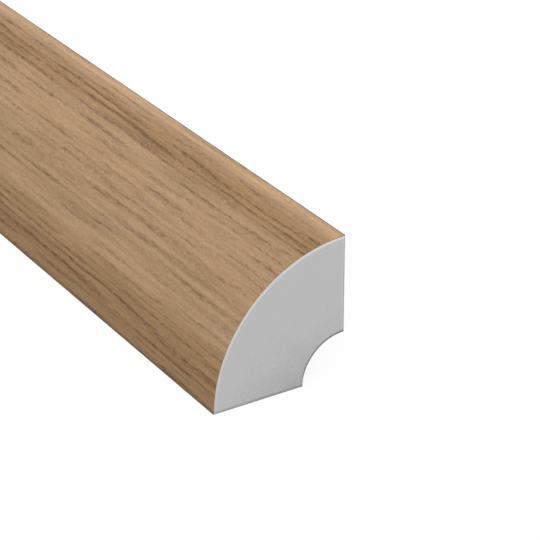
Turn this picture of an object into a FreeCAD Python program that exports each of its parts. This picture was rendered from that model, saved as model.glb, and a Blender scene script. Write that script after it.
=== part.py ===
import FreeCAD, Part
import Sketcher
import math
import os

# Quarter round moulding: one length of grey rigid vinyl stock, wrapped on its curved
# face with a thin wood-grain film. All lengths are in millimetres.
#
# X runs along the stock, +Y points at the wall and Z up. The section is drawn in its
# own corner coordinates: sketch x = 0 is the wall face, sketch y = 0 is the floor, and
# the curved face bulges towards -x. The finished stock is centred over its base.

doc = FreeCAD.newDocument("QuarterRound")

# Driving dimensions: the alias, the value and what it measures
SIZES = [
    ("length", 2388.0, "stock length, 94 in, from cut face to cut face"),
    ("height", 19.0, "floor to top edge, up the wall"),
    ("depth", 18.5, "wall to toe, across the floor"),
    ("relief_radius", 5.9, "hollow along the hidden inner corner"),
    ("film_thickness", 0.12, "wood-grain film on the curved face"),
    ("bevel_width", 0.25, "eased end edge, measured across the cut face"),
    ("bevel_setback", 0.1, "eased end edge, measured along the stock"),
]

sheet = doc.addObject("Spreadsheet::Sheet", "Sizes")
for row, (alias, value, meaning) in enumerate(SIZES, start=1):
    sheet.set("A%d" % row, alias)
    sheet.set("B%d" % row, str(value))
    sheet.set("C%d" % row, meaning)
    sheet.setAlias("B%d" % row, alias)
doc.recompute()

# The curved face is one arc. Its centre lies on the floor line a little behind the wall
# face, so that it leaves the floor square and passes through the toe and the top edge.
FACE_RADIUS = "(Sizes.height * Sizes.height + Sizes.depth * Sizes.depth) / (2 * Sizes.depth)"
FACE_CENTER = FACE_RADIUS + " - Sizes.depth"
CORE_RADIUS = FACE_RADIUS + " - Sizes.film_thickness"

# The same values as numbers, to draw each sketch close to its solution
height = sheet.height
depth = sheet.depth
relief = sheet.relief_radius
film = sheet.film_thickness
face_radius = (height ** 2 + depth ** 2) / (2 * depth)
face_center = face_radius - depth
core_radius = face_radius - film
core_toe = face_center - core_radius
core_top = math.sqrt(core_radius ** 2 - face_center ** 2)


def origin_plane(body, role):
    for feature in body.Origin.OriginFeatures:
        if feature.Role == role:
            return feature
    raise RuntimeError("no origin plane " + role)


def new_body(label):
    """A body whose wall face stands half the depth behind the middle of the base."""
    body = doc.addObject("PartDesign::Body", label)
    body.Label = label
    body.setExpression(".Placement.Base.y", "Sizes.depth / 2")
    return body


def section_sketch(body, name):
    """A sketch across the stock, at the middle of its length."""
    sketch = body.newObject("Sketcher::SketchObject", name)
    sketch.AttachmentSupport = [(origin_plane(body, "YZ_Plane"), "")]
    sketch.MapMode = "FlatFace"
    return sketch


def draw_line(sketch, start, end):
    points = [FreeCAD.Vector(x, y, 0) for x, y in (start, end)]
    return sketch.addGeometry(Part.LineSegment(*points), False)


def draw_arc(sketch, center, radius, start_angle, end_angle):
    circle = Part.Circle(FreeCAD.Vector(*center, 0), FreeCAD.Vector(0, 0, 1), radius)
    return sketch.addGeometry(Part.ArcOfCircle(circle, start_angle, end_angle), False)


# A point of the sketch is the number of its edge and which of its points is meant
def start_of(edge):
    return edge, 1


def end_of(edge):
    return edge, 2


def center_of(edge):
    return edge, 3


def corner():
    """The sketch's origin, where the wall meets the floor."""
    return start_of(-1)


def join(sketch, point, other):
    sketch.addConstraint(Sketcher.Constraint("Coincident", *point, *other))


def on_floor(sketch, point):
    sketch.addConstraint(Sketcher.Constraint("PointOnObject", *point, -1))


def on_wall(sketch, point):
    sketch.addConstraint(Sketcher.Constraint("PointOnObject", *point, -2))


def sized(sketch, expression, *values):
    """A dimension that follows the sheet."""
    index = sketch.addConstraint(Sketcher.Constraint(*values))
    sketch.setExpression("Constraints[%d]" % index, expression)


def face_arc(sketch, expression, radius, top):
    """One arc of the curved face, from the wall face over and down to the floor."""
    arc = draw_arc(sketch, (face_center, 0), radius, math.atan2(top, -face_center), math.pi)
    on_wall(sketch, start_of(arc))
    on_floor(sketch, end_of(arc))
    on_floor(sketch, center_of(arc))
    sized(sketch, FACE_CENTER, "DistanceX", *corner(), *center_of(arc), face_center)
    sized(sketch, expression, "Radius", arc, radius)
    return arc


def pad_both_ways(body, sketch, name, length):
    pad = body.newObject("PartDesign::Pad", name)
    pad.Profile = sketch
    pad.Midplane = True
    pad.setExpression("Length", length)
    sketch.Visibility = False
    return pad


def cut_faces(shape):
    """The names of the two end faces, which look along the stock."""
    names = []
    for number, face in enumerate(shape.Faces, start=1):
        if abs(face.normalAt(0, 0).x) > abs(face.normalAt(0, 0).y) + abs(face.normalAt(0, 0).z):
            names.append("Face%d" % number)
    return names


def make_core():
    """The extruded vinyl: flat base and back, curved face and hollow inner corner."""
    body = new_body("core")
    sketch = section_sketch(body, "CoreSection")
    face = face_arc(sketch, CORE_RADIUS, core_radius, core_top)
    base = draw_line(sketch, (core_toe, 0), (-relief, 0))
    hollow = draw_arc(sketch, (0, 0), relief, math.pi / 2, math.pi)
    back = draw_line(sketch, (0, relief), (0, core_top))
    join(sketch, end_of(face), start_of(base))
    join(sketch, end_of(base), end_of(hollow))
    join(sketch, start_of(hollow), start_of(back))
    join(sketch, end_of(back), start_of(face))
    join(sketch, center_of(hollow), corner())
    on_floor(sketch, end_of(base))
    on_wall(sketch, start_of(back))
    sized(sketch, "Sizes.relief_radius", "Radius", hollow, relief)
    pad = pad_both_ways(body, sketch, "CoreLength", "Sizes.length")
    doc.recompute()

    # Both cut ends have their edges eased by a shallow bevel all round
    bevel = body.newObject("PartDesign::Chamfer", "EndBevel")
    bevel.Base = (pad, cut_faces(pad.Shape))
    bevel.ChamferType = "Two distances"
    bevel.setExpression("Size", "Sizes.bevel_setback")
    bevel.setExpression("Size2", "Sizes.bevel_width")
    return body


def make_film():
    """The film: one layer over the face, from the top edge down to the toe. It stops
    where the bevel of the core's ends begins."""
    body = new_body("decor_film")
    sketch = section_sketch(body, "FilmSection")
    outer = face_arc(sketch, FACE_RADIUS, face_radius, height)
    inner = face_arc(sketch, CORE_RADIUS, core_radius, core_top)
    toe = draw_line(sketch, (-depth, 0), (core_toe, 0))
    lip = draw_line(sketch, (0, core_top), (0, height))
    join(sketch, end_of(outer), start_of(toe))
    join(sketch, end_of(toe), end_of(inner))
    join(sketch, start_of(inner), start_of(lip))
    join(sketch, end_of(lip), start_of(outer))
    pad_both_ways(body, sketch, "FilmLength", "Sizes.length - 2 * Sizes.bevel_setback")
    return body


bodies = [make_core(), make_film()]
doc.recompute()

for item in doc.Objects:
    if "Invalid" in item.State or "Error" in item.State:
        raise RuntimeError("%s failed: %s" % (item.Name, item.State))
for body in bodies:
    if body.Shape.isNull() or not body.Shape.isValid() or len(body.Shape.Solids) != 1:
        raise RuntimeError("%s is not one valid solid" % body.Label)

os.makedirs("parts", exist_ok=True)
for body in bodies:
    body.Shape.exportStep("parts/%s.step" % body.Label)
    box = body.Shape.BoundBox
    print("%s: %.2f x %.2f x %.2f mm, %.2f cm3" % (
        body.Label, box.XLength, box.YLength, box.ZLength, body.Shape.Volume / 1000))
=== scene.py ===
# Looks of one length of quarter round moulding: grey rigid vinyl with a wood-grain film
# on its curved face. Metres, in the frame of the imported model: X runs along the stock,
# +Y points at the wall and Z up.

import math

import bmesh
import bpy
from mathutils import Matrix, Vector
from mathutils.noise import noise as wave


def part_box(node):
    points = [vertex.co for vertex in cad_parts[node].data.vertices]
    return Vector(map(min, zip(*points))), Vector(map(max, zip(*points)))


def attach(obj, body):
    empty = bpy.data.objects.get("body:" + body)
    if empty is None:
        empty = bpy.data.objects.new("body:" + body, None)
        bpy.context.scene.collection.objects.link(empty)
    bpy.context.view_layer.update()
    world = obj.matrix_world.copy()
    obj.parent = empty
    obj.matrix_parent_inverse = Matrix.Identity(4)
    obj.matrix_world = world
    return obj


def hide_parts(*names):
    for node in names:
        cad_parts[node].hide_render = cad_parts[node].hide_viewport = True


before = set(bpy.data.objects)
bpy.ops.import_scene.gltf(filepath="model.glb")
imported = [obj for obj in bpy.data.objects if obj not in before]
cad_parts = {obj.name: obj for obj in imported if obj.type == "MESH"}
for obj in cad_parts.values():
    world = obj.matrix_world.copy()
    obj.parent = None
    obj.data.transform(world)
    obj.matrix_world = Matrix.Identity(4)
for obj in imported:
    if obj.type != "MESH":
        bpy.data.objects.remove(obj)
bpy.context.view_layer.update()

MM = 0.001

# Sizes of the section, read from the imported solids
core_low, core_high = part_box("core")
film_low, film_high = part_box("decor_film")
HALF_LENGTH = core_high.x
WALL = core_high.y
HEIGHT = film_high.z
DEPTH = film_high.y - film_low.y
FILM = core_low.y - film_low.y
BEVEL_SETBACK = core_high.x - film_high.x
SIDE_END = HALF_LENGTH - BEVEL_SETBACK
FACE_RADIUS = (HEIGHT ** 2 + DEPTH ** 2) / (2 * DEPTH)
FACE_CENTER = WALL + FACE_RADIUS - DEPTH
CORE_RADIUS = FACE_RADIUS - FILM

# Sizes that the boxes don't give
HOLLOW_RADIUS = 5.9 * MM
BEVEL_WIDTH = 0.25 * MM

# How finely the pieces are divided, and from what angle on an edge is shaded sharp
FACE_STEPS = 144
HOLLOW_STEPS = 48
CORE_ROWS = 6
FILM_ROWS = 9
RINGS_PER_ROW = 70
SHARP_ANGLE = math.radians(15)

# Each piece has two materials. The second one is for its cut ends and, on the film, for
# its thin edges and the side that is stuck to the core
SECOND_MATERIAL = 1


# Section shapes: points are (y, z) pairs, angles go from +Y towards +Z


def arc(center, radius, start, end, steps):
    angles = [start + (end - start) * step / steps for step in range(steps + 1)]
    return [(center + radius * math.cos(a), radius * math.sin(a)) for a in angles]


def core_section(inset):
    """The core's outline: hollow, back, face and base. The inset moves every side into
    the material, for the bevelled ends."""
    hollow = HOLLOW_RADIUS + inset
    tilt = math.asin(inset / hollow)
    radius = CORE_RADIUS - inset
    top = math.acos((WALL - inset - FACE_CENTER) / radius)
    toe = math.pi - math.asin(inset / radius)
    return (
        arc(WALL, hollow, math.pi - tilt, math.pi / 2 + tilt, HOLLOW_STEPS)
        + arc(FACE_CENTER, radius, top, toe, FACE_STEPS)
    )


def face_section(radius):
    """A curve of the film, from the top edge at the wall down to the toe."""
    top = math.acos((WALL - FACE_CENTER) / radius)
    return arc(FACE_CENTER, radius, top, math.pi, FACE_STEPS)


def running_length(section):
    """The length along a section from its first point to each of its points."""
    lengths = [0.0]
    for (y0, z0), (y1, z1) in zip(section, section[1:]):
        lengths.append(lengths[-1] + math.hypot(y1 - y0, z1 - z0))
    return lengths


def stations(count):
    """Even places along the stock, from where one end's bevel begins to where the
    other's does."""
    return [SIDE_END * (2 * i / count - 1) for i in range(count + 1)]


# Mesh building

# Places in the square of a bake map: how high the rows reach, and what lies above them.
# A strip is given by its bottom and its top
CORE_ROWS_TOP = 0.94
CORE_END_BOTTOM = 0.945
CORE_END_LEFTS = (0.01, 0.08)
FILM_ROWS_TOP = 0.95
FILM_BACK_STRIP = (0.955, 0.965)
FILM_TOP_STRIP = (0.970, 0.975)
FILM_TOE_STRIP = (0.980, 0.985)
FILM_END_STRIP = (0.990, 0.995)


class FoldedMap:
    """A bake map that cuts a long surface into rows and stacks them, so that it fills a
    square without being squeezed."""

    MARGIN = 0.004

    def __init__(self, mesh, row_length, width, rows, rows_top):
        self.layer = mesh.loops.layers.uv.new("OFBake")
        self.row_length = row_length
        self.width = width
        self.row_height = rows_top / rows

    def lay(self, face, row, row_start, corners):
        """A face in a row. Its corners are places along the stock and around it."""
        for loop, (x, s) in zip(face.loops, corners):
            u = self.fit((x - row_start) / self.row_length)
            v = self.row_height * (row + self.fit(s / self.width))
            loop[self.layer].uv = (u, v)

    def lay_strip(self, face, strip, corners):
        """A face in a strip. Its corners are places along the stock and shares from the
        strip's bottom to its top."""
        bottom, top = strip
        for loop, (x, share) in zip(face.loops, corners):
            u = self.fit((x + HALF_LENGTH) / (2 * HALF_LENGTH))
            loop[self.layer].uv = (u, bottom + (top - bottom) * share)

    def lay_flat(self, face, left, bottom):
        """A cut end, at the scale that the rows have along the stock."""
        for loop in face.loops:
            u = left + (loop.vert.co.y + WALL) / self.row_length
            loop[self.layer].uv = (u, bottom + loop.vert.co.z / self.row_length)

    def fit(self, share):
        """A share from 0 to 1 as one that leaves the margin free at both ends."""
        return self.MARGIN + (1 - 2 * self.MARGIN) * share


def ring(mesh, x, section):
    return [mesh.verts.new((x, y, z)) for y, z in section]


def finished(mesh, name, materials, node):
    """The mesh as a piece of the model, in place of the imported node."""
    data = bpy.data.meshes.new(name)
    mesh.to_mesh(data)
    mesh.free()
    for material in materials:
        data.materials.append(material)
    data.shade_smooth()
    data.set_sharp_from_angle(angle=SHARP_ANGLE)
    piece = bpy.data.objects.new(name, data)
    bpy.context.scene.collection.objects.link(piece)
    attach(piece, "root")
    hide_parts(node)
    return piece


# Material building

# Sockets of a Mix node that mixes colours, which are told apart by number only
MIX_SHARE = 0
MIX_FIRST = 6
MIX_SECOND = 7
MIX_RESULT = 2

# Most of a noise lies between these two values
NOISE_SPAN = (0.3, 0.7)


def is_socket(value):
    return isinstance(value, bpy.types.NodeSocket)


def set_input(tree, socket, value):
    if is_socket(value):
        tree.links.new(value, socket)
    else:
        socket.default_value = value


def add_node(tree, kind, inputs=None, **settings):
    """A node with its settings made and its inputs set or linked."""
    node = tree.nodes.new(kind)
    for name, value in settings.items():
        setattr(node, name, value)
    for socket, value in (inputs or {}).items():
        set_input(tree, node.inputs[socket], value)
    return node


def calculate(tree, operation, *values, clamp=False):
    settings = {"operation": operation, "use_clamp": clamp}
    return add_node(tree, "ShaderNodeMath", dict(enumerate(values)), **settings).outputs[0]


def total(tree, parts, clamp=False):
    """The sum of the parts, which may be clamped to run from 0 to 1."""
    result = parts[0]
    for number, part in enumerate(parts[1:], start=2):
        last = number == len(parts)
        result = calculate(tree, "ADD", result, part, clamp=clamp and last)
    return result


def noise(tree, place, cells, detail=2.0, roughness=0.5, seed=0.0):
    """Noise from 0 to 1, whose cells have the length along X and the width given."""
    length, width = cells
    scaled = add_node(tree, "ShaderNodeMapping", {
        "Vector": place,
        "Location": (seed, seed, seed),
        "Scale": (1 / length, 1 / width, 1 / width),
    }).outputs[0]
    return add_node(tree, "ShaderNodeTexNoise", {
        "Vector": scaled,
        "Scale": 1.0,
        "Detail": detail,
        "Roughness": roughness,
    }).outputs["Fac"]


def swing(tree, value, amount):
    """A value around a half as a value around zero, with the amount as its reach."""
    return calculate(tree, "MULTIPLY_ADD", value, 2 * amount, -amount)


def rescale(tree, value, low, high, new_low, new_high):
    """A value between two limits as one between two new limits, eased at both."""
    return add_node(tree, "ShaderNodeMapRange", {
        "Value": value,
        "From Min": low,
        "From Max": high,
        "To Min": new_low,
        "To Max": new_high,
    }, interpolation_type="SMOOTHSTEP").outputs[0]


def ramp(tree, value, stops):
    """The colour that the stops give for a value from 0 to 1."""
    node = add_node(tree, "ShaderNodeValToRGB", {"Fac": value})
    elements = node.color_ramp.elements
    while len(elements) < len(stops):
        elements.new(0.5)
    for element, (position, color) in zip(elements, stops):
        element.position = position
        element.color = (*color, 1.0)
    return node.outputs[0]


def tinted(tree, color, share, tint):
    """A colour multiplied by a tint, by a share from 0 to 1."""
    inputs = {MIX_SHARE: share, MIX_FIRST: color, MIX_SECOND: (*tint, 1.0)}
    settings = {"data_type": "RGBA", "blend_type": "MULTIPLY"}
    return add_node(tree, "ShaderNodeMix", inputs, **settings).outputs[MIX_RESULT]


def bump(tree, height, distance):
    return add_node(tree, "ShaderNodeBump", {
        "Height": height,
        "Strength": 1.0,
        "Distance": distance,
    }).outputs[0]


def banded(tree, across, bands):
    """What the bands add at a place: each fades from its middle out to its edges."""
    parts = []
    for middle, half_width, amount in bands:
        away = calculate(tree, "ABSOLUTE", calculate(tree, "SUBTRACT", across, middle))
        parts.append(rescale(tree, away, 0, half_width, amount, 0))
    return total(tree, parts)


def object_place(tree):
    return add_node(tree, "ShaderNodeTexCoord").outputs["Object"]


def new_material(name):
    material = bpy.data.materials.new(name)
    material.use_nodes = True
    return material, material.node_tree, material.node_tree.nodes["Principled BSDF"]


def connect(tree, shader, inputs):
    for socket, value in inputs.items():
        tree.links.new(value, shader.inputs[socket])


# The print of the film

# Colours of the print from its lightest streaks to its darkest, and the tint that makes
# some of its bands more golden
WOOD_STOPS = [
    (0.00, (0.467, 0.302, 0.170)),
    (0.20, (0.396, 0.254, 0.141)),
    (0.52, (0.304, 0.192, 0.106)),
    (0.76, (0.233, 0.143, 0.078)),
    (1.00, (0.141, 0.082, 0.043)),
]
GOLDEN_TINT = (1.0, 0.94, 0.82)

# Bands of the print, where the darker bands also hold painted shade, highlight and sheen:
# the distance from the top edge, the half width, and how much darker they are, how much
# stronger their streaks are, or how golden they are
DARKER_BANDS = [
    # Painted shade along the top edge, where the film turns away from the light, then a thin
    # painted highlight just below it
    (0.00 * MM, 0.22 * MM, 0.52),
    (0.30 * MM, 0.12 * MM, -0.15),
    # Lighter along the top edge: partly print, partly painted sheen
    (0.90 * MM, 1.50 * MM, -0.26),
    (4.80 * MM, 3.60 * MM, 0.22),
    (20.0 * MM, 2.00 * MM, -0.18),
    (25.2 * MM, 3.60 * MM, 0.05),
    (28.2 * MM, 1.20 * MM, -0.12),
    # Painted contact shadow along the toe
    (29.2 * MM, 0.65 * MM, 0.40),
]
STRONGER_BANDS = [
    (4.80 * MM, 3.60 * MM, 0.08),
    (25.2 * MM, 3.60 * MM, 0.20),
]
GOLDEN_BANDS = [
    (4.60 * MM, 3.90 * MM, 1.00),
    (11.0 * MM, 8.00 * MM, 0.16),
    (23.0 * MM, 2.60 * MM, 0.68),
    (26.5 * MM, 4.50 * MM, 0.68),
]

# Length and width of the print's broad clouds, streaks, fibres and specks
BROAD_CELLS = (60 * MM, 3.0 * MM)
STREAK_CELLS = (14 * MM, 0.65 * MM)
FIBRE_CELLS = (1.4 * MM, 0.3 * MM)
SPECKLE_CELLS = (0.3 * MM, 0.3 * MM)

# How dark the plain print is, and how much each of them and the pressed grain darken it
# at the most
PLAIN_DARK = 0.41
BROAD_DARK = 0.04
STREAK_DARK = 0.38
FIBRE_DARK = 0.21
SPECKLE_DARK = 0.24
PRESSED_DARK = 0.12

# What the broad clouds and the streaks add to how golden the print is: less where they
# are darker
BROAD_GOLD = -0.35
STREAK_GOLD = -0.25

# How far the streaks waver to the side, and over what length and width
WAVER = 0.45 * MM
WAVER_CELLS = (9 * MM, 1.5 * MM)

# The dark lines: their spacing, and in spacings how far they drift and how far each
# reaches to both sides. Then how dark they are, the cells of their drift and of the
# patches where they show, and between which values of the patches they fade in
LINE_SPACING = 1.25 * MM
LINE_DRIFT = 1.7
LINE_REACH = 0.32
LINE_DARK = 0.28
DRIFT_CELLS = (70 * MM, 6 * MM)
PATCH_CELLS = (12 * MM, 0.9 * MM)
PATCH_FADE = (0.37, 0.62)

# How the fibres break the dark lines up: from what share of their darkness to what
FIBRE_SHARES = (0.45, 1.4)

# The surface of the print
PRINT_ROUGHNESS = (0.62, 0.78)
PRINT_RELIEF = 0.006 * MM
PRINT_SPECULAR = 0.25


def wavy(tree, place):
    """The map's places moved a little across the stock, so that the streaks waver."""
    waver = noise(tree, place, WAVER_CELLS, detail=3.0, roughness=0.6, seed=3)
    shift = swing(tree, waver, WAVER)
    offset = add_node(tree, "ShaderNodeCombineXYZ", {"Y": shift}).outputs[0]
    return add_node(tree, "ShaderNodeVectorMath", {0: place, 1: offset}).outputs[0]


def dark_lines(tree, waved, fibres, strength):
    """Thin dark lines at a spacing that drifts. They fade in and out along their run,
    less so where the strength is above one, and the fibres break them up."""
    bend = noise(tree, waved, DRIFT_CELLS, detail=1.0, seed=29)
    drift = swing(tree, bend, LINE_DRIFT)
    across = add_node(tree, "ShaderNodeSeparateXYZ", {0: waved}).outputs[1]
    phase = calculate(tree, "MULTIPLY_ADD", across, 1 / LINE_SPACING, drift)

    # The phase folded into the distance from the nearest line, in spacings
    off_line = calculate(tree, "PINGPONG", phase, 0.5)
    patches = noise(tree, waved, PATCH_CELLS, detail=1.0, seed=37)
    present = total(tree, [patches, strength, -1.0])
    line = calculate(
        tree, "MULTIPLY",
        rescale(tree, off_line, 0.0, LINE_REACH, LINE_DARK, 0.0),
        rescale(tree, present, *PATCH_FADE, 0.0, 1.0),
    )
    return calculate(tree, "MULTIPLY", line, rescale(tree, fibres, *NOISE_SPAN, *FIBRE_SHARES))


def wood_print():
    """The matt print: thin dark lines and streaks, short fibres and a fine speckle, all
    along the stock, and darker where the grain is pressed in."""
    material, tree, shader = new_material("wood_print")
    place = add_node(tree, "ShaderNodeUVMap", uv_map="Print").outputs[0]
    pressed = add_node(tree, "ShaderNodeAttribute", attribute_name="pressed").outputs["Fac"]
    across = add_node(tree, "ShaderNodeSeparateXYZ", {0: place}).outputs[1]

    waved = wavy(tree, place)
    broad = noise(tree, place, BROAD_CELLS, detail=1.0, seed=11)
    streaks = noise(tree, waved, STREAK_CELLS, seed=23)
    fibres = noise(tree, waved, FIBRE_CELLS, roughness=0.6, seed=53)
    speckle = noise(tree, place, SPECKLE_CELLS, detail=1.0, seed=71)

    strength = total(tree, [banded(tree, across, STRONGER_BANDS), 1.0])
    lines = dark_lines(tree, waved, fibres, strength)
    drawn = total(tree, [lines, swing(tree, streaks, STREAK_DARK)])
    dark = total(tree, [
        calculate(tree, "MULTIPLY", drawn, strength),
        calculate(tree, "MULTIPLY", pressed, PRESSED_DARK),
        swing(tree, broad, BROAD_DARK),
        swing(tree, fibres, FIBRE_DARK),
        swing(tree, speckle, SPECKLE_DARK),
        # The darker bands: print, with painted shade, highlight and sheen along the edges
        banded(tree, across, DARKER_BANDS),
        PLAIN_DARK,
    ], clamp=True)
    golden = total(tree, [
        banded(tree, across, GOLDEN_BANDS),
        swing(tree, broad, BROAD_GOLD),
        swing(tree, streaks, STREAK_GOLD),
    ])
    height = total(tree, [swing(tree, streaks, -1.0), swing(tree, fibres, -1.0)])
    connect(tree, shader, {
        "Base Color": tinted(tree, ramp(tree, dark, WOOD_STOPS), golden, GOLDEN_TINT),
        "Roughness": rescale(tree, dark, 0, 1, *PRINT_ROUGHNESS),
        "Normal": bump(tree, height, PRINT_RELIEF),
    })
    shader.inputs["Specular IOR Level"].default_value = PRINT_SPECULAR
    return material


# The cut edge of the film: its colours, its grain and its surface
FILM_EDGE_STOPS = [
    (0.3, (0.42, 0.25, 0.12)),
    (0.7, (0.36, 0.21, 0.10)),
]
FILM_EDGE_CELLS = (0.2 * MM, 0.2 * MM)
FILM_EDGE_ROUGHNESS = (0.55, 0.75)


def film_edge():
    """The cut edge of the film, more orange than its print."""
    material, tree, shader = new_material("film_edge")
    grain = noise(tree, object_place(tree), FILM_EDGE_CELLS)
    connect(tree, shader, {
        "Base Color": ramp(tree, grain, FILM_EDGE_STOPS),
        "Roughness": rescale(tree, grain, 0, 1, *FILM_EDGE_ROUGHNESS),
    })
    return material


# The vinyl

# Greys of the vinyl, from the painted highlight along the back edge over clean vinyl to
# the painted shade along its sharp edges
VINYL_STOPS = [
    (0.00, (0.620, 0.620, 0.620)),
    (0.08, (0.552, 0.552, 0.552)),
    (0.35, (0.540, 0.540, 0.540)),
    (1.00, (0.270, 0.270, 0.270)),
]

# The clean vinyl's shade, the cells of its clouds and specks, and how much they and its
# marks change the shade
CLEAN_SHADE = 0.25
CLOUD_CELLS = (3 * MM, 3 * MM)
SPECK_CELLS = (0.15 * MM, 0.15 * MM)
CLOUD_SHADE = 0.10
SPECK_SHADE = 0.12
MARK_SHADE = 0.12

# Marks in the vinyl: the length and width of their cells, their depth, and how rough the
# vinyl is that has them. The roughness goes up and down by the reach
EXTRUSION_LINES = ((70 * MM, 0.5 * MM), 0.008 * MM, 0.45)
SAW_MARKS = ((0.5 * MM, 0.5 * MM), 0.004 * MM, 0.55)
ROUGHNESS_REACH = 0.06

# The painted shade and highlight lie on the cut ends only, and fade over this length along the
# stock
PAINTED_SHADE_LENGTH = 0.5 * MM

# Its faint painted shade low down towards the hollow: how strong it is, over what distance
# from the inner corner it fades and over what height
PAINTED_LOW_SHADE_STRENGTH = 0.37
PAINTED_LOW_SHADE_REACH = (3 * MM, 25 * MM)
PAINTED_LOW_SHADE_HEIGHT = (-3 * MM, 16 * MM)

# Its line of painted shade along the base and of painted highlight along the back: the
# middle, the half width and the strength. A painted highlight is less than zero
PAINTED_BASE_SHADE = (BEVEL_WIDTH + 0.1 * MM, 0.11 * MM, 0.42)
PAINTED_BACK_HIGHLIGHT = (WALL - BEVEL_WIDTH - 0.06 * MM, 0.14 * MM, -0.34)

# Its line of painted shade along the hollow: the width, the strength, what share of it is
# left at the base and the height from which on all of it is there
PAINTED_HOLLOW_SHADE_WIDTH = 0.16 * MM
PAINTED_HOLLOW_SHADE_STRENGTH = 0.60
PAINTED_HOLLOW_SHADE_LOW = 0.1
PAINTED_HOLLOW_SHADE_FULL = 5 * MM


def from_inner_corner(tree, place):
    """The distance across the section from the corner of floor and wall."""
    corner = add_node(tree, "ShaderNodeMapping", {
        "Vector": place,
        "Location": (0.0, -WALL, 0.0),
        "Scale": (0.0, 1.0, 1.0),
    }).outputs[0]
    measure = add_node(tree, "ShaderNodeVectorMath", {0: corner}, operation="LENGTH")
    return measure.outputs["Value"]


def painted_end_shade_and_highlight(tree, place):
    """Painted shade and highlight on a cut end: faint painted shade low down towards the
    hollow, a thin line of painted shade along the base and one along the hollow that is
    stronger the higher it is, and a thin painted highlight along the back."""
    reach = from_inner_corner(tree, place)
    along, depth, height = add_node(tree, "ShaderNodeSeparateXYZ", {0: place}).outputs
    from_middle = calculate(tree, "ABSOLUTE", along)
    cut_end = rescale(tree, from_middle, SIDE_END - PAINTED_SHADE_LENGTH, SIDE_END, 0.0, 1.0)
    # Painted shade, faint, low down towards the hollow
    painted_low_shade = calculate(
        tree, "MULTIPLY",
        rescale(tree, reach, *PAINTED_LOW_SHADE_REACH, PAINTED_LOW_SHADE_STRENGTH, 0.0),
        rescale(tree, height, *PAINTED_LOW_SHADE_HEIGHT, 1.0, 0.0),
    )
    rim = HOLLOW_RADIUS + BEVEL_WIDTH
    # A thin line of painted shade along the hollow, stronger the higher it is
    painted_hollow_shade = calculate(
        tree, "MULTIPLY",
        rescale(tree, reach, rim, rim + PAINTED_HOLLOW_SHADE_WIDTH, PAINTED_HOLLOW_SHADE_STRENGTH, 0.0),
        rescale(tree, height, 0.0, PAINTED_HOLLOW_SHADE_FULL, PAINTED_HOLLOW_SHADE_LOW, 1.0),
    )
    # A thin line of painted shade along the base and a thin painted highlight along the back
    painted_base_shade = banded(tree, height, [PAINTED_BASE_SHADE])
    painted_back_highlight = banded(tree, depth, [PAINTED_BACK_HIGHLIGHT])
    # The painted shade and the painted highlight, added together
    marks = total(tree, [painted_low_shade, painted_base_shade, painted_hollow_shade, painted_back_highlight])
    return calculate(tree, "MULTIPLY", cut_end, marks)


def vinyl(name, mark_cells, mark_depth, roughness):
    """Light grey rigid vinyl: faint clouds and specks, marks of the size given, and painted
    shade and highlight on the cut ends.
    """
    material, tree, shader = new_material(name)
    place = object_place(tree)
    clouds = noise(tree, place, CLOUD_CELLS, detail=3.0)
    specks = noise(tree, place, SPECK_CELLS, detail=1.0, seed=5)
    marks = noise(tree, place, mark_cells, detail=3.0, roughness=0.6, seed=17)
    shade = total(tree, [
        swing(tree, clouds, CLOUD_SHADE),
        swing(tree, specks, SPECK_SHADE),
        swing(tree, marks, MARK_SHADE),
        # Painted shade and painted highlight on the cut ends
        painted_end_shade_and_highlight(tree, place),
        CLEAN_SHADE,
    ], clamp=True)
    smoothest = roughness - ROUGHNESS_REACH
    roughest = roughness + ROUGHNESS_REACH
    connect(tree, shader, {
        "Base Color": ramp(tree, shade, VINYL_STOPS),
        "Roughness": rescale(tree, marks, *NOISE_SPAN, smoothest, roughest),
        "Normal": bump(tree, marks, mark_depth),
    })
    return material


# The core


def make_core():
    """The vinyl core. In its bake map the bevels belong to the first and the last row."""
    mesh = bmesh.new()
    side = core_section(0.0)
    cut = core_section(BEVEL_WIDTH)
    places = stations(CORE_ROWS)
    around = running_length(side + side[:1])
    slant = math.hypot(BEVEL_WIDTH, BEVEL_SETBACK)
    row_length = places[1] - places[0] + slant
    fold = FoldedMap(mesh, row_length, around[-1], CORE_ROWS, CORE_ROWS_TOP)

    rings = [ring(mesh, -HALF_LENGTH, cut)]
    rings += [ring(mesh, x, side) for x in places]
    rings += [ring(mesh, HALF_LENGTH, cut)]
    unrolled = [places[0] - slant, *places, places[-1] + slant]

    # A band of faces lies between two rings, and the first and last bands are the bevels
    for band, (near, far) in enumerate(zip(rings, rings[1:])):
        row = min(max(band - 1, 0), CORE_ROWS - 1)
        row_start = unrolled[0] if row == 0 else places[row]
        x0, x1 = unrolled[band:band + 2]
        for i in range(len(side)):
            j = (i + 1) % len(side)
            face = mesh.faces.new((near[i], near[j], far[j], far[i]))
            s0, s1 = around[i:i + 2]
            fold.lay(face, row, row_start, [(x0, s0), (x0, s1), (x1, s1), (x1, s0)])
    for end, left in zip((rings[0][::-1], rings[-1]), CORE_END_LEFTS):
        face = mesh.faces.new(end)
        face.material_index = SECOND_MATERIAL
        fold.lay_flat(face, left, CORE_END_BOTTOM)
    materials = [
        vinyl("vinyl_extruded", *EXTRUSION_LINES),
        vinyl("vinyl_sawn", *SAW_MARKS),
    ]
    return finished(mesh, "moulding_core", materials, "core")


# The film

# The grain pressed into the film: its depth, the length and width of its strokes, and
# how far the strokes sway to the side over what length and width
GRAIN_DEPTH = 0.035 * MM
GRAIN_STROKE = (26 * MM, 0.85 * MM)
GRAIN_SWAY = 0.45 * MM
SWAY_CELLS = (85 * MM, 12 * MM)

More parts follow.
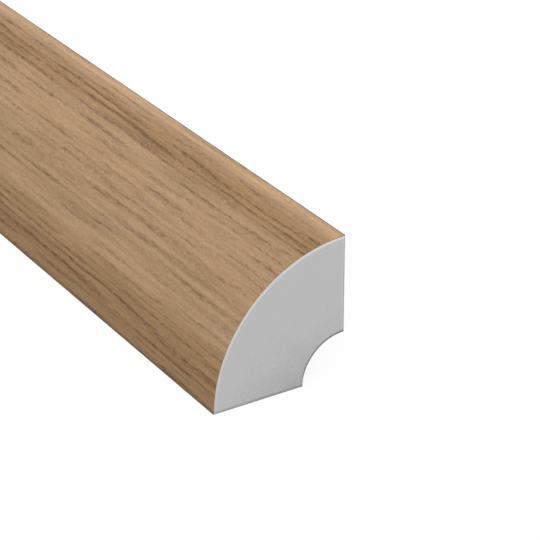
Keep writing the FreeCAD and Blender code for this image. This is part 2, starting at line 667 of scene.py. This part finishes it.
# Where the noise for the sway and for the strokes is taken, how much the finer strokes
# add, and how strongly all of them stand out
SWAY_LEVEL = 0.0
STROKE_LEVEL = 5.0
FINER_STROKES = 0.3
STROKE_CONTRAST = 0.6

# The width along the film's two edges over which the grain fades
PLAIN_EDGE = 0.8 * MM


def sway_at(x, s):
    """How far the strokes of the grain are moved across the face at a place on it."""
    length, width = SWAY_CELLS
    return GRAIN_SWAY * wave(Vector((x / length, s / width, SWAY_LEVEL)))


def pressed_at(x, s):
    """How far the grain is pressed in at a place on the face, from 0 to 1."""
    length, width = GRAIN_STROKE
    place = Vector((x / length, s / width, STROKE_LEVEL))
    value = wave(place) + FINER_STROKES * wave(2 * place)
    return min(max(0.5 + STROKE_CONTRAST * value, 0.0), 1.0)


def printed_rings(mesh, places, around):
    """The rings of the printed side with the grain pressed in, and where each of their
    points lies on the print. The grain fades and stops swaying along the two edges."""
    pressed = mesh.verts.layers.float["pressed"]
    outer = face_section(FACE_RADIUS)
    fades = [min(s / PLAIN_EDGE, (around[-1] - s) / PLAIN_EDGE, 1.0) for s in around]
    rings = []
    printed = []
    for x in places:
        rings.append(ring(mesh, x, outer))
        shifted = [s + sway_at(x, s) * fade for s, fade in zip(around, fades)]
        printed.append([(x, s) for s in shifted])
        for vert, s, fade in zip(rings[-1], shifted, fades):
            vert[pressed] = pressed_at(x, s)
            share = 1 - GRAIN_DEPTH * vert[pressed] * fade / FACE_RADIUS
            vert.co.y = FACE_CENTER + (vert.co.y - FACE_CENTER) * share
            vert.co.z *= share
    return rings, printed


def add_printed_side(mesh, fold, places, around):
    """The printed side, in rows of the bake map. It returns its rings."""
    print_map = mesh.loops.layers.uv["Print"]
    rings, printed = printed_rings(mesh, places, around)
    for band in range(len(places) - 1):
        row = band // RINGS_PER_ROW
        row_start = places[row * RINGS_PER_ROW]
        for i in range(FACE_STEPS):
            corners = [(band, i), (band, i + 1), (band + 1, i + 1), (band + 1, i)]
            face = mesh.faces.new([rings[a][b] for a, b in corners])
            fold.lay(face, row, row_start, [(places[a], around[b]) for a, b in corners])
            for loop, (a, b) in zip(face.loops, corners):
                loop[print_map].uv = printed[a][b]
    return rings


def add_stuck_side(mesh, fold, ends):
    """The side that is stuck to the core, in one strip. It returns its rings."""
    inner = face_section(CORE_RADIUS)
    rings = [ring(mesh, x, inner) for x in ends]
    for row in range(FILM_ROWS):
        for i in range(FACE_STEPS):
            corners = [(row, i), (row + 1, i), (row + 1, i + 1), (row, i + 1)]
            face = mesh.faces.new([rings[a][b] for a, b in corners])
            face.material_index = SECOND_MATERIAL
            shares = [(ends[a], b / FACE_STEPS) for a, b in corners]
            fold.lay_strip(face, FILM_BACK_STRIP, shares)
    return rings


def add_thin_edge(mesh, fold, outside, inside, lip, strip):
    """One thin edge of the film, a face a row. The lip is the number of the point of the
    rings that lies on it: the first at the top edge, the last at the toe."""
    for row in range(FILM_ROWS):
        first = row * RINGS_PER_ROW
        under = [points[lip] for points in inside[row:row + 2]]
        over = [points[lip] for points in outside[first:first + RINGS_PER_ROW + 1]]
        verts = under + over[::-1]
        shares = [0] * len(under) + [1] * len(over)
        if lip == 0:
            verts.reverse()
            shares.reverse()
        face = mesh.faces.new(verts)
        face.material_index = SECOND_MATERIAL
        fold.lay_strip(face, strip, [(vert.co.x, share) for vert, share in zip(verts, shares)])


def add_film_ends(mesh, fold, outside, inside):
    """The two cut ends of the film, side by side in one strip."""
    # The end's ring, how many halves of the strip it is moved, and which way its faces turn
    for end, shift, order in ((0, 0, 1), (-1, 1, -1)):
        for i in range(FACE_STEPS):
            j = i + 1
            verts = [outside[end][i], inside[end][i], inside[end][j], outside[end][j]]
            face = mesh.faces.new(verts[::order])
            face.material_index = SECOND_MATERIAL
            low = HALF_LENGTH * (i / FACE_STEPS - shift)
            high = HALF_LENGTH * (j / FACE_STEPS - shift)
            corners = [(low, 1), (low, 0), (high, 0), (high, 1)]
            fold.lay_strip(face, FILM_END_STRIP, corners[::order])


def make_film():
    """The film, which is printed and pressed on its outer side only."""
    mesh = bmesh.new()
    mesh.verts.layers.float.new("pressed")
    mesh.loops.layers.uv.new("Print")
    around = running_length(face_section(FACE_RADIUS))
    ends = stations(FILM_ROWS)
    places = stations(FILM_ROWS * RINGS_PER_ROW)
    fold = FoldedMap(mesh, ends[1] - ends[0], around[-1], FILM_ROWS, FILM_ROWS_TOP)

    outside = add_printed_side(mesh, fold, places, around)
    inside = add_stuck_side(mesh, fold, ends)
    add_thin_edge(mesh, fold, outside, inside, 0, FILM_TOP_STRIP)
    add_thin_edge(mesh, fold, outside, inside, -1, FILM_TOE_STRIP)
    add_film_ends(mesh, fold, outside, inside)
    return finished(mesh, "wood_film", [wood_print(), film_edge()], "decor_film")


# Camera, light and floor

# What the camera looks at, from which side, from how far and with which lens. All of it
# is fitted to the cut end's corners and the long edges in the photo
AIM = Vector((HALF_LENGTH - 9.743 * MM, WALL - 4.485 * MM, 11.299 * MM))
AZIMUTH = math.radians(57.816)
ELEVATION = math.radians(27.401)
DISTANCE = 279.68 * MM
LENS = 152.114
SENSOR_WIDTH = 36.0
NEAREST_SEEN = 0.01
FARTHEST_SEEN = 200.0

WHITE = (1.0, 1.0, 1.0, 1.0)
WORLD_STRENGTH = 1.0

# The floor's tone to all rays but the camera's, its tone to those, and the glow that
# makes it white there
FLOOR_TONE = 0.15
FLOOR_SEEN = 0.08
FLOOR_GLOW = 0.91
FLOOR_ROUGHNESS = 0.9
FLOOR_CELLS = (0.03, 0.03)
FLOOR_GRAIN = 0.01


def make_camera():
    data = bpy.data.cameras.new("camera")
    data.lens = LENS
    data.sensor_width = SENSOR_WIDTH
    data.clip_start = NEAREST_SEEN
    data.clip_end = FARTHEST_SEEN
    camera = bpy.data.objects.new("camera", data)
    back = Vector((
        math.sin(AZIMUTH) * math.cos(ELEVATION),
        -math.cos(AZIMUTH) * math.cos(ELEVATION),
        math.sin(ELEVATION),
    ))
    camera.location = AIM + back * DISTANCE
    camera.rotation_mode = "QUATERNION"
    camera.rotation_quaternion = (-back).to_track_quat("-Z", "Y")
    bpy.context.scene.collection.objects.link(camera)
    bpy.context.scene.camera = camera


def make_sun(name, toward, strength, spread):
    """A wide soft lamp that shines from that direction and lights the length evenly."""
    data = bpy.data.lights.new(name, "SUN")
    data.energy = strength
    data.angle = math.radians(spread)
    lamp = bpy.data.objects.new(name, data)
    lamp.rotation_mode = "QUATERNION"
    lamp.rotation_quaternion = Vector(toward).to_track_quat("Z", "Y")
    bpy.context.scene.collection.objects.link(lamp)


def make_world():
    """An even white studio dome."""
    world = bpy.data.worlds.new("studio")
    bpy.context.scene.world = world
    world.use_nodes = True
    backdrop = world.node_tree.nodes["Background"]
    backdrop.inputs["Color"].default_value = WHITE
    backdrop.inputs["Strength"].default_value = WORLD_STRENGTH


def floor_material():
    """White to the camera, with the object's faint shadow, and grey to all other rays."""
    material, tree, shader = new_material("floor")
    place = object_place(tree)
    seen = add_node(tree, "ShaderNodeLightPath").outputs["Is Camera Ray"]
    tone = calculate(tree, "MULTIPLY_ADD", seen, FLOOR_SEEN - FLOOR_TONE, FLOOR_TONE)
    grain = swing(tree, noise(tree, place, FLOOR_CELLS), FLOOR_GRAIN)
    connect(tree, shader, {
        "Base Color": calculate(tree, "ADD", tone, grain),
        "Emission Strength": calculate(tree, "MULTIPLY", seen, FLOOR_GLOW),
    })
    shader.inputs["Emission Color"].default_value = WHITE
    shader.inputs["Roughness"].default_value = FLOOR_ROUGHNESS
    shader.inputs["Specular IOR Level"].default_value = 0.0
    return material


def make_floor(size):
    mesh = bmesh.new()
    bmesh.ops.create_grid(mesh, x_segments=4, y_segments=4, size=size)
    data = bpy.data.meshes.new("floor")
    mesh.to_mesh(data)
    mesh.free()
    data.materials.append(floor_material())
    floor = bpy.data.objects.new("floor", data)
    bpy.context.scene.collection.objects.link(floor)


bpy.context.scene.view_settings.view_transform = "Standard"
make_camera()
make_world()
make_sun("key", toward=(0.6, -0.4, 0.69), strength=1.6, spread=50.0)
make_floor(size=40.0)
make_core()
make_film()
